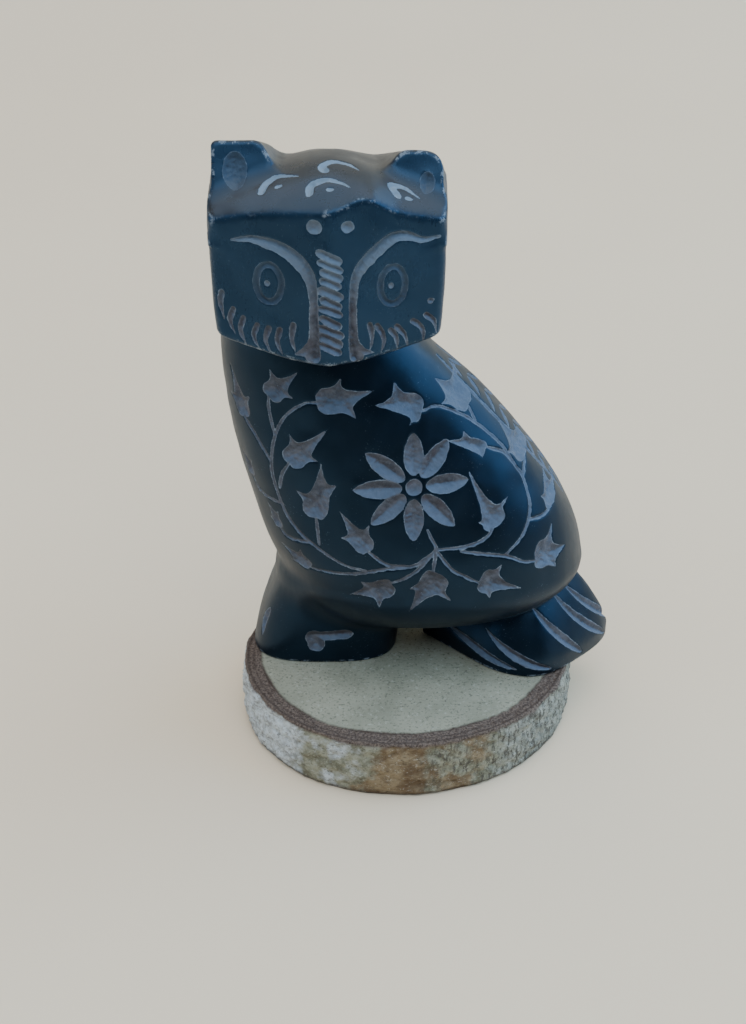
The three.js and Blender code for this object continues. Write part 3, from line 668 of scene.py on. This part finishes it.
def surface_net(low, high, cell):
    """Triangles of the form on a grid: one point in each cell that the surface crosses."""
    counts = np.ceil((high - low) / cell).astype(int)
    lines = (low[i] + cell * np.arange(counts[i] + 1) for i in range(3))
    grid = np.stack(np.meshgrid(*lines, indexing="ij"), -1)
    value = owl_form(grid)
    total, hits = np.zeros((*counts, 3)), np.zeros(counts)
    corners = [(i, j, k) for i in (0, 1) for j in (0, 1) for k in (0, 1)]

    def block(a, corner):
        return a[tuple(slice(c, c + n) for c, n in zip(corner, counts))]

    for a in corners:
        for b in corners:
            if sum(b) - sum(a) != 1 or any(q < p for p, q in zip(a, b)):
                continue
            va, vb = block(value, a), block(value, b)
            cross = (va < 0) != (vb < 0)
            t = np.where(cross, va / np.where(cross, va - vb, 1), 0)[..., None]
            point = np.array(a) * (1 - t) + np.array(b) * t
            total += np.where(cross[..., None], point, 0)
            hits += cross
    cells = np.argwhere(hits > 0)
    index = np.full(counts, -1)
    index[tuple(cells.T)] = np.arange(len(cells))
    verts = low + cell * (cells + total[tuple(cells.T)] / hits[tuple(cells.T)][:, None])
    quads = []
    for axis in range(3):
        u, v = (axis + 1) % 3, (axis + 2) % 3
        near = np.moveaxis(value, (axis, u, v), (0, 1, 2))
        cross = (near[:-1, 1:-1, 1:-1] < 0) != (near[1:, 1:-1, 1:-1] < 0)
        place = np.argwhere(cross) + [0, 1, 1]
        ids = np.moveaxis(index, (axis, u, v), (0, 1, 2))
        i, j, k = place.T
        quad = np.stack([ids[i, j - 1, k - 1], ids[i, j, k - 1], ids[i, j, k], ids[i, j - 1, k]], 1)
        inside = near[i, j, k] < 0
        quads.append(np.where(inside[:, None], quad, quad[:, ::-1]))
    quads = np.vstack(quads)
    return verts, np.vstack([quads[:, [0, 1, 2]], quads[:, [0, 2, 3]]])


def split_edges(verts, tris, goal):
    """Splits edges much longer than the goal at their ends; returns the new triangles and the edges' ends."""
    pairs = np.sort(tris[:, [0, 1, 1, 2, 2, 0]].reshape(-1, 2), axis=1)
    key = pairs[:, 0] * len(verts) + pairs[:, 1]
    unique, edge_of = np.unique(key, return_inverse=True)
    ends = np.column_stack([unique // len(verts), unique % len(verts)])
    length = np.linalg.norm(verts[ends[:, 0]] - verts[ends[:, 1]], axis=1)
    marked = length > MESH["split"] * np.minimum(goal[ends[:, 0]], goal[ends[:, 1]])
    number = np.full(len(unique), -1)
    number[marked] = len(verts) + np.arange(marked.sum())
    mid = number[edge_of.reshape(-1, 3)]
    cut = mid >= 0
    many = cut.sum(axis=1)
    out = [tris[many == 0]]
    for times, pick in ((1, lambda c: c.argmax(axis=1)), (2, lambda c: ((~c).argmax(axis=1) + 1) % 3)):
        chosen = many == times
        first = pick(cut[chosen])
        order = (first[:, None] + np.arange(3)) % 3
        a, b, c = np.take_along_axis(tris[chosen], order, axis=1).T
        m = np.take_along_axis(mid[chosen], order, axis=1).T
        if times == 1:
            out += [np.column_stack([a, m[0], c]), np.column_stack([m[0], b, c])]
        else:
            out += [np.column_stack(t) for t in ((m[0], b, m[1]), (a, m[0], m[1]), (a, m[1], c))]
    a, b, c = tris[many == 3].T
    p, q, r = mid[many == 3].T
    out += [np.column_stack(t) for t in ((a, p, r), (p, b, q), (r, q, c), (p, q, r))]
    return np.vstack(out), ends[marked]


def mesh_object(name, verts, tris, attributes):
    mesh = bpy.data.meshes.new(name)
    mesh.vertices.add(len(verts))
    mesh.vertices.foreach_set("co", np.ascontiguousarray(verts * MM, np.float32).ravel())
    mesh.loops.add(tris.size)
    mesh.loops.foreach_set("vertex_index", np.ascontiguousarray(tris, np.int32).ravel())
    mesh.polygons.add(len(tris))
    mesh.polygons.foreach_set("loop_start", np.arange(0, tris.size, 3, dtype=np.int32))
    mesh.update(calc_edges=True)
    mesh.validate()
    for key, values in attributes.items():
        layer = mesh.attributes.new(key, "FLOAT", "POINT")
        layer.data.foreach_set("value", np.ascontiguousarray(values, np.float32))
    mesh.shade_smooth()
    piece = bpy.data.objects.new(name, mesh)
    bpy.context.collection.objects.link(piece)
    return piece


def make_owl():
    cuts = flank_carving(from_front, STEMS, LEAVES)
    cuts += flank_carving(from_behind, [STEMS[i] for i in REAR_STEMS], [LEAVES[i] for i in REAR_LEAVES])
    took_dye = Carving(eye_carving())
    carving = Carving(cuts + face_carving() + spine_and_tail_carving() + took_dye.cuts)

    def goal_at(p):
        rim, _ = carving.at(p)
        inner = 0.45 * np.clip(np.abs(rim) - 0.15, 0, 0.2)
        by_cut = MESH["at_cut"] + inner + 0.5 * np.clip(rim - 0.2, 0, None)
        by_bend = np.maximum(0.5 / np.maximum(np.abs(sharpness(p)), 1e-3), MESH["at_bend"])
        return np.clip(np.minimum(by_cut, by_bend), MESH["finest"], MESH["coarsest"])

    verts, tris = surface_net(np.array(MESH["low"]), np.array(MESH["high"]), MESH["cell"])
    verts, _ = settle(verts)
    goal = goal_at(verts)
    for _ in range(MESH["rounds"]):
        tris, ends = split_edges(verts, tris, goal)
        if not len(ends):
            break
        fresh, _ = settle((verts[ends[:, 0]] + verts[ends[:, 1]]) / 2, 2)
        verts = np.vstack([verts, fresh])
        goal = np.concatenate([goal, goal_at(fresh)])
    verts, out = settle(verts, 1)
    # the cuts, the rough of the raw stone in them, and the unevenness of handwork outside them
    rim, deep = carving.at(verts)
    bend = sharpness(verts)
    rim = rim + 0.04 * waves(verts, 1.1, 1)
    raw = smoothstep(0.05, -0.05, rim)
    rough = 0.05 * waves(verts, 0.7, 2) + 0.03 * waves(verts, 0.35, 3)
    hand = 0.05 * waves(verts, 9, 4) + 0.02 * waves(verts, 3.5, 5)
    on_ground = smoothstep(GROUND + 0.05, GROUND + 0.6, verts[:, 2])
    lift = (-deep + raw * rough * np.clip(deep / 0.3, 0, 1) + (1 - raw) * hand) * on_ground
    shape = verts + out * lift[:, None]
    shape[:, 2] = np.maximum(shape[:, 2], GROUND)
    dyed = smoothstep(0.1, -0.05, took_dye.at(verts)[0])
    return mesh_object("carved_owl", shape, tris, {"rim": rim, "bend": bend, "dyed": dyed})


# ------------------------------------------------------------------ the slice

SLICE = dict(long=27.4, short=25.2, turn=31.0, edge=0.5, bulge=0.35, bark=2.9)
AROUND = 480  # points in each ring
UNDER_INSETS = (24, 18, 12, 7, 3.5, 1.5, 0.6, 0.2)
TOP_INSETS = (*np.arange(0.18, 4.6, 0.18), 5.2, 6, 7, 8.5, 10.5, 13, 16, 19.5, 23.5)  # fine over the bark
CENTRE_INSET = 25


def slice_outline(grow):
    angle = np.linspace(0, 2 * np.pi, AROUND, endpoint=False)
    uneven = 1 + 0.006 * np.sin(3 * angle + 0.6) + 0.004 * np.sin(5 * angle + 2)
    long = (SLICE["long"] + grow) * uneven * np.cos(angle)
    short = (SLICE["short"] + grow) * uneven * np.sin(angle)
    c, s = math.cos(math.radians(SLICE["turn"])), math.sin(math.radians(SLICE["turn"]))
    return np.column_stack([c * long - s * short, s * long + c * short])


def make_slice():
    """Rings from the middle of the underside, up the bark, to the middle of the sawn top."""
    edge = SLICE["edge"]
    rings = [(0.0, -edge - d) for d in UNDER_INSETS]
    corner = np.radians(np.linspace(-90, 0, 6))
    rings += [(edge + edge * math.sin(a), -edge + edge * math.cos(a)) for a in corner]
    for t in np.linspace(0, 1, 46)[1:-1]:
        rings.append((edge + t * (GROUND - 2 * edge), SLICE["bulge"] * math.sin(math.pi * t)))
    rings += [(GROUND - edge + edge * math.sin(-a), -edge + edge * math.cos(a)) for a in corner[::-1]]
    rings += [(GROUND, -edge - d) for d in TOP_INSETS]
    verts = np.vstack([np.column_stack([slice_outline(grow), np.full(AROUND, z)]) for z, grow in rings])
    inward = np.repeat([-grow for _, grow in rings], AROUND)
    index = np.arange(len(verts)).reshape(len(rings), AROUND)
    a, b = index[:-1], np.roll(index[:-1], -1, axis=1)
    c, d = np.roll(index[1:], -1, axis=1), index[1:]
    tris = np.vstack([np.stack([a, b, c], -1).reshape(-1, 3), np.stack([a, c, d], -1).reshape(-1, 3)])
    centres = np.array([[0, 0, 0], [0, 0, GROUND]])
    first, last = len(verts), len(verts) + 1
    tris = np.vstack([
        tris,
        np.column_stack([np.full(AROUND, first), np.roll(index[0], -1), index[0]]),
        np.column_stack([np.full(AROUND, last), index[-1], np.roll(index[-1], -1)]),
    ])
    verts, inward = np.vstack([verts, centres]), np.append(inward, [CENTRE_INSET, CENTRE_INSET])
    out = unit(verts * [1, 1, 0])
    on_top = verts[:, 2] > GROUND - 0.01
    wander = 0.25 * waves(verts, 13, 20) + 0.04 * waves(verts, 1.6, 21)
    bark = np.where(on_top, smoothstep(SLICE["bark"] + 0.25, SLICE["bark"] - 0.25, inward + wander), 1.0)
    # the bark's relief and pits, and the grain of its ring on top
    side = smoothstep(GROUND, GROUND - 0.7, verts[:, 2]) * smoothstep(0.0, 0.5, verts[:, 2])
    squashed = verts * [1, 1, 2.2]
    relief = 0.16 * waves(squashed, 5, 22) + 0.11 * waves(verts, 1.7, 23) + 0.07 * waves(squashed, 0.8, 24)
    pits = -0.3 * smoothstep(0.9, 1.8, waves(verts * [1, 1, 3.0], 3.2, 25))
    shape = verts + out * ((relief + pits) * side)[:, None]
    grain = 0.1 * waves(verts, 0.9, 26) + 0.06 * waves(verts, 0.45, 27)
    shape[:, 2] += np.where(on_top, bark * (np.minimum(grain, 0.05) - 0.12) * smoothstep(0.2, 0.9, inward), 0)
    return mesh_object("birch_slice_fine", shape, tris, {"bark": bark, "inward": inward})


# ------------------------------------------------------------------ materials

class Nodes:
    """A short way to write a node tree."""

    def __init__(self, name):
        self.material = bpy.data.materials.new(name)
        self.material.use_nodes = True
        self.tree = self.material.node_tree
        self.shader = self.tree.nodes["Principled BSDF"]

    def new(self, kind, **settings):
        node = self.tree.nodes.new(kind)
        for key, value in settings.items():
            setattr(node, key, value)
        return node

    def link(self, source, target):
        self.tree.links.new(source, target)

    def put(self, socket, value):
        if isinstance(value, bpy.types.NodeSocket):
            self.link(value, socket)
        else:
            socket.default_value = value

    def place(self, stretch=(1, 1, 1)):
        """Object coordinates in millimetres."""
        mapping = self.new("ShaderNodeMapping")
        mapping.inputs["Scale"].default_value = [s / MM for s in stretch]
        self.link(self.new("ShaderNodeTexCoord").outputs["Object"], mapping.inputs["Vector"])
        return mapping.outputs["Vector"]

    def noise(self, size, detail=4.0, rough=0.55, stretch=(1, 1, 1), twist=0.0):
        """Noise whose blotches are about `size` millimetres across."""
        node = self.new("ShaderNodeTexNoise")
        self.link(self.place(stretch), node.inputs["Vector"])
        settings = {"Scale": 1 / size, "Detail": detail, "Roughness": rough, "Distortion": twist}
        for key, value in settings.items():
            node.inputs[key].default_value = value
        return node.outputs["Fac"]

    def attribute(self, name):
        return self.new("ShaderNodeAttribute", attribute_name=name).outputs["Fac"]

    def math(self, operation, a, b=0.0):
        node = self.new("ShaderNodeMath", operation=operation)
        self.put(node.inputs[0], a)
        self.put(node.inputs[1], b)
        return node.outputs[0]

    def ramp(self, value, low, high, out_low=0.0, out_high=1.0):
        node = self.new("ShaderNodeMapRange", interpolation_type="SMOOTHSTEP")
        for socket, number in zip(node.inputs, (value, low, high, out_low, out_high)):
            self.put(socket, number)
        return node.outputs[0]

    def blotch(self, size, low, high, detail=4.0, rough=0.55, stretch=(1, 1, 1)):
        """Noise drawn apart: 0 where it is below `low`, 1 where it is above `high`."""
        return self.ramp(self.noise(size, detail, rough, stretch), low, high)

    def along(self, vector, axis):
        node = self.new("ShaderNodeSeparateXYZ")
        self.link(vector, node.inputs[0])
        return node.outputs[axis]

    def mix(self, share, a, b):
        node = self.new("ShaderNodeMix", data_type="RGBA")
        self.put(node.inputs["Factor"], share)
        for socket, colour in ((node.inputs[6], a), (node.inputs[7], b)):
            self.put(socket, (*colour, 1.0) if isinstance(colour, tuple) else colour)
        return node.outputs[2]

    def over(self, below, share, strength, colour):
        """`colour` laid over `below`, as much as `share` times `strength`."""
        return self.mix(self.math("MULTIPLY", share, strength), below, colour)

    def bump(self, height, distance, strength, below=None):
        node = self.new("ShaderNodeBump")
        node.inputs["Strength"].default_value = strength
        node.inputs["Distance"].default_value = distance * MM
        self.link(height, node.inputs["Height"])
        if below is not None:
            self.link(below, node.inputs["Normal"])
        return node.outputs["Normal"]


def soapstone_material():
    n = Nodes("dyed_soapstone")
    rim, bend, dyed = (n.attribute(name) for name in ("rim", "bend", "dyed"))
    height = n.along(n.place(), "Z")
    up = n.along(n.new("ShaderNodeNewGeometry").outputs["Normal"], "Z")
    crumble = n.math("MULTIPLY", n.math("SUBTRACT", n.noise(0.35, 3, 0.7), 0.5), 0.16)
    cut = n.ramp(n.math("ADD", rim, crumble), 0.03, -0.03)
    raw = n.math("MULTIPLY", cut, n.ramp(dyed, 0.0, 1.0, 1.0, 0.3))
    # the polished skin: blue-black dye, paler and bluer on the head, partly thinner dye and partly a painted
    # reflection of blue light, with a painted brown reflection of the warm backdrop on the head's
    # upward-facing tops
    patches = n.blotch(8, 0.35, 0.7)
    body_dye = n.mix(patches, (0.0008, 0.0016, 0.0035), (0.0025, 0.0055, 0.011))
    # paler, bluer head: partly thinner dye, partly a painted reflection of blue light on the face
    head_dye_and_painted_reflection = n.mix(patches, (0.009, 0.022, 0.043), (0.013, 0.031, 0.060))
    on_head = n.ramp(height, 65, 70)
    dye = n.mix(on_head, body_dye, head_dye_and_painted_reflection)
    # painted reflection: warm brown where the head's surface faces up
    dye = n.over(dye, n.ramp(up, 0.4, 0.85), on_head, (0.036, 0.033, 0.031))
    flecks = n.math("MULTIPLY", n.blotch(0.3, 0.64, 0.72, 3, 0.6), n.blotch(5, 0.5, 0.62, 2))
    dye = n.over(dye, flecks, 0.6, (0.10, 0.14, 0.19))
    # the cut stone: dark grey-brown in the depth of a cut, paler and broken at its rim
    inner = n.mix(n.blotch(1.8, 0.32, 0.68, 5, 0.65), (0.062, 0.058, 0.068), (0.135, 0.135, 0.160))
    inner = n.over(inner, n.blotch(2.6, 0.5, 0.75, 3), 0.6, (0.075, 0.046, 0.043))
    inner = n.mix(n.blotch(0.4, 0.58, 0.80, 3, 0.7), inner, (0.19, 0.21, 0.25))
    pale = n.mix(n.blotch(0.6, 0.35, 0.65, 3, 0.7), (0.080, 0.085, 0.105), (0.29, 0.35, 0.43))
    patchy = n.ramp(n.noise(2.2, 3, 0.6), 0.38, 0.6, 0.2, 1.0)
    grey = n.mix(n.math("MULTIPLY", n.ramp(rim, -0.2, -0.02), patchy), inner, pale)
    # painted light on the cut stone: browner on walls that face down, a painted reflection of the warm floor,
    # bluer on those that face up, painted sky light, and a painted pale-blue sheen high on the head
    grey = n.over(grey, n.ramp(up, 0.05, -0.4), 0.65, (0.050, 0.041, 0.040))
    grey = n.over(grey, n.ramp(up, 0.0, 0.5), 0.6, (0.115, 0.165, 0.25))
    grey = n.over(grey, n.ramp(height, 74, 84), 0.45, (0.21, 0.29, 0.385))
    # painted pale-blue light on the undyed cuts at the top of the crown and ears
    painted_crown_light = n.math("MULTIPLY", n.ramp(height, 89.5, 91.5), n.ramp(dyed, 0.0, 1.0, 0.45, 0.0))
    grey = n.mix(painted_crown_light, grey, (0.27, 0.36, 0.45))
    colour = n.mix(raw, dye, grey)
    # broken and rubbed edges
    worn = n.math("MULTIPLY", n.ramp(bend, 0.55, 1.1), n.blotch(1.2, 0.53, 0.60, 5, 0.75))
    n.link(n.over(colour, worn, 0.8, (0.24, 0.28, 0.33)), n.shader.inputs["Base Color"])
    # gloss: smeared on the skin, duller where it is seen edge-on, matt in the cuts
    smear = n.ramp(n.noise(5, 6, 0.7, (1, 1, 0.5)), 0.3, 0.7, -0.06, 0.06)
    smear = n.math("ADD", smear, n.ramp(on_head, 0, 1, 0.36, 0.29))
    grazing = n.new("ShaderNodeLayerWeight").outputs["Facing"]
    smear = n.math("ADD", smear, n.ramp(grazing, 0.5, 0.95, 0.0, 0.1))
    rough = n.new("ShaderNodeMix", data_type="FLOAT")
    n.link(n.math("MAXIMUM", cut, n.math("MULTIPLY", worn, 0.8)), rough.inputs["Factor"])
    n.link(smear, rough.inputs[2])
    rough.inputs[3].default_value = 0.48
    n.link(rough.outputs[0], n.shader.inputs["Roughness"])
    n.shader.inputs["IOR"].default_value = 1.55
    n.shader.inputs["Specular Tint"].default_value = (0.25, 0.56, 1.0, 1.0)
    scratches = n.bump(n.noise(0.22, 2, 0.5, (1, 1, 0.12), 0.3), 0.01, 0.4)
    grit = n.math("MULTIPLY", n.noise(0.3, 5, 0.75), cut)
    n.link(n.bump(grit, 0.12, 0.8, scratches), n.shader.inputs["Normal"])
    return n.material


def birch_material():
    n = Nodes("birch_wood")
    bark = n.attribute("bark")
    inward = n.attribute("inward")
    # the sawn face, with its pores and saw marks
    wood = n.mix(n.blotch(9, 0.3, 0.7), (0.25, 0.255, 0.195), (0.345, 0.345, 0.27))
    wood = n.over(wood, n.blotch(0.45, 0.54, 0.66, 3, 0.7), 0.85, (0.13, 0.13, 0.10))
    wood = n.over(wood, n.blotch(0.6, 0.56, 0.7, 3, 0.7), 0.35, (0.56, 0.57, 0.51))
    saw = n.noise(0.55, 2, 0.5, (0.06, 1, 1))
    wood = n.over(wood, n.ramp(saw, 0.5, 0.75), 0.14, (0.2, 0.21, 0.17))
    # the ring of bark on top, in two layers with dark lines
    ring = n.mix(n.blotch(0.35, 0.35, 0.65, 4, 0.75), (0.055, 0.038, 0.032), (0.20, 0.155, 0.13))
    for middle, width, strength in ((2.9, 0.45, 0.7), (1.5, 0.3, 0.45), (0.55, 0.4, 0.6)):
        line = n.math("ABSOLUTE", n.math("SUBTRACT", inward, middle))
        ring = n.over(ring, n.ramp(line, width, 0.0), strength, (0.045, 0.03, 0.024))
    # the bark's side: brown in the middle, then olive, and pale at the two ends
    place = n.place()
    height = n.along(place, "Z")
    x = n.math("ADD", n.along(place, "X"), n.ramp(n.noise(7, 4, 0.6), 0.2, 0.8, -8, 8))
    brown = n.mix(n.blotch(3, 0.35, 0.65, 4, 0.65, (1, 1, 1.6)), (0.15, 0.098, 0.055), (0.30, 0.23, 0.14))
    olive = n.mix(n.blotch(2, 0.35, 0.65, 4, 0.65), (0.17, 0.165, 0.115), (0.36, 0.36, 0.28))
    white = n.mix(n.blotch(1.3, 0.35, 0.6, 5, 0.7, (1, 1, 1.5)), (0.33, 0.34, 0.34), (0.66, 0.72, 0.76))
    side = n.mix(n.ramp(n.math("ABSOLUTE", x), 5, 10), brown, olive)
    side = n.mix(n.ramp(x, -12, -17), side, white)
    side = n.over(side, n.ramp(x, 11, 17), 0.25, white)
    # its cracks, dark streaks on the right, pale flakes, and darker within about a millimetre of the foot
    side = n.over(side, n.blotch(0.7, 0.56, 0.64, 4, 0.75, (1, 1, 2.6)), 0.7, (0.07, 0.05, 0.035))
    streak = n.math("MULTIPLY", n.blotch(0.6, 0.48, 0.60, 4, 0.7, (1, 1, 0.3)), n.ramp(x, 2, 12))
    side = n.over(side, streak, 0.85, (0.07, 0.06, 0.05))
    side = n.over(side, n.blotch(0.6, 0.57, 0.68, 4, 0.75, (1, 1, 1.8)), 0.55, (0.60, 0.58, 0.52))
    side = n.over(side, n.ramp(height, 1.1, 0.2), 0.75, (0.07, 0.045, 0.03))
    side = n.over(side, n.ramp(height, GROUND - 1.0, GROUND - 0.3), 0.9, ring)
    skin = n.mix(n.ramp(height, GROUND - 0.5, GROUND - 0.3), side, ring)
    n.link(n.mix(bark, wood, skin), n.shader.inputs["Base Color"])
    n.shader.inputs["Roughness"].default_value = 0.86
    n.shader.inputs["IOR"].default_value = 1.4
    grit = n.math("MULTIPLY", n.noise(0.5, 5, 0.7), bark)
    n.link(n.bump(grit, 0.28, 0.8, n.bump(saw, 0.06, 0.5)), n.shader.inputs["Normal"])
    return n.material


def floor_material():
    n = Nodes("paper_sweep")
    paper = n.mix(n.blotch(160, 0.3, 0.7, 2), (0.86, 0.72, 0.545), (0.89, 0.75, 0.57))
    n.link(paper, n.shader.inputs["Base Color"])
    n.shader.inputs["Roughness"].default_value = 0.8
    return n.material


# ------------------------------------------------------------------ stage and light

def add_floor():
    """A pale paper that ends in front of the carving, lies flat, and sweeps up well behind it."""
    front, flat_to, radius, height, half_width = -0.23, 0.30, 0.35, 1.6, 2.0
    profile = [(front, 0.0), (0.0, 0.0), (flat_to, 0.0)]
    for degrees in range(6, 91, 6):
        a = math.radians(degrees)
        profile.append((flat_to + radius * math.sin(a), radius * (1 - math.cos(a))))
    profile.append((flat_to + radius, height))
    verts = [(x, y, z) for y, z in profile for x in (-half_width, half_width)]
    faces = [(2 * i, 2 * i + 1, 2 * i + 3, 2 * i + 2) for i in range(len(profile) - 1)]
    mesh = bpy.data.meshes.new("floor")
    mesh.from_pydata(verts, [], faces)
    mesh.shade_smooth()
    floor = bpy.data.objects.new("floor", mesh)
    floor.data.materials.append(floor_material())
    bpy.context.collection.objects.link(floor)


# Each light's name, place, size, watts and colour. All aim at the carving's middle.
LIGHTS = [
    ("top_soft", (0.0, 0.0, 1.2), (3.0, 1.7), 31.0, (0.97, 0.98, 1.0)),
    ("front_soft", (0.15, -0.7, 0.95), (0.8, 0.5), 1.8, (0.5, 0.78, 1.0)),
    ("window_right", (0.82, 0.1, 0.52), (1.3, 0.7), 9.5, (0.40, 0.70, 1.0)),
    ("left_fill", (-0.85, -0.2, 0.4), (0.7, 0.7), 1.8, (0.46, 0.74, 1.0)),
]
LIT = (0.0, 0.0, 0.05)
WORLD = dict(colour=(0.86, 0.93, 1.0, 1.0), strength=0.08)


def area_light(name, place, size, power, colour):
    data = bpy.data.lights.new(name, "AREA")
    data.shape = "RECTANGLE"
    data.size, data.size_y = size
    data.energy = power
    data.color = colour
    light = bpy.data.objects.new(name, data)
    light.location = place
    aim = [t - p for t, p in zip(LIT, place)]
    yaw = math.atan2(aim[1], aim[0])
    pitch = math.atan2(math.hypot(aim[0], aim[1]), -aim[2])
    light.rotation_euler = (pitch, 0.0, yaw - math.pi / 2)
    bpy.context.collection.objects.link(light)


def add_lights():
    world = bpy.data.worlds.new("studio")
    world.use_nodes = True
    background = world.node_tree.nodes["Background"]
    background.inputs["Color"].default_value = WORLD["colour"]
    background.inputs["Strength"].default_value = WORLD["strength"]
    bpy.context.scene.world = world
    for light in LIGHTS:
        area_light(*light)


# ------------------------------------------------------------------ the scene

add_camera()
owl = make_owl()
owl.data.materials.append(soapstone_material())
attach(owl, "root")
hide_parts("soapstone_owl")

birch = make_slice()
birch.data.materials.append(birch_material())
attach(birch, "root")
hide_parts("birch_slice")

add_floor()
add_lights()
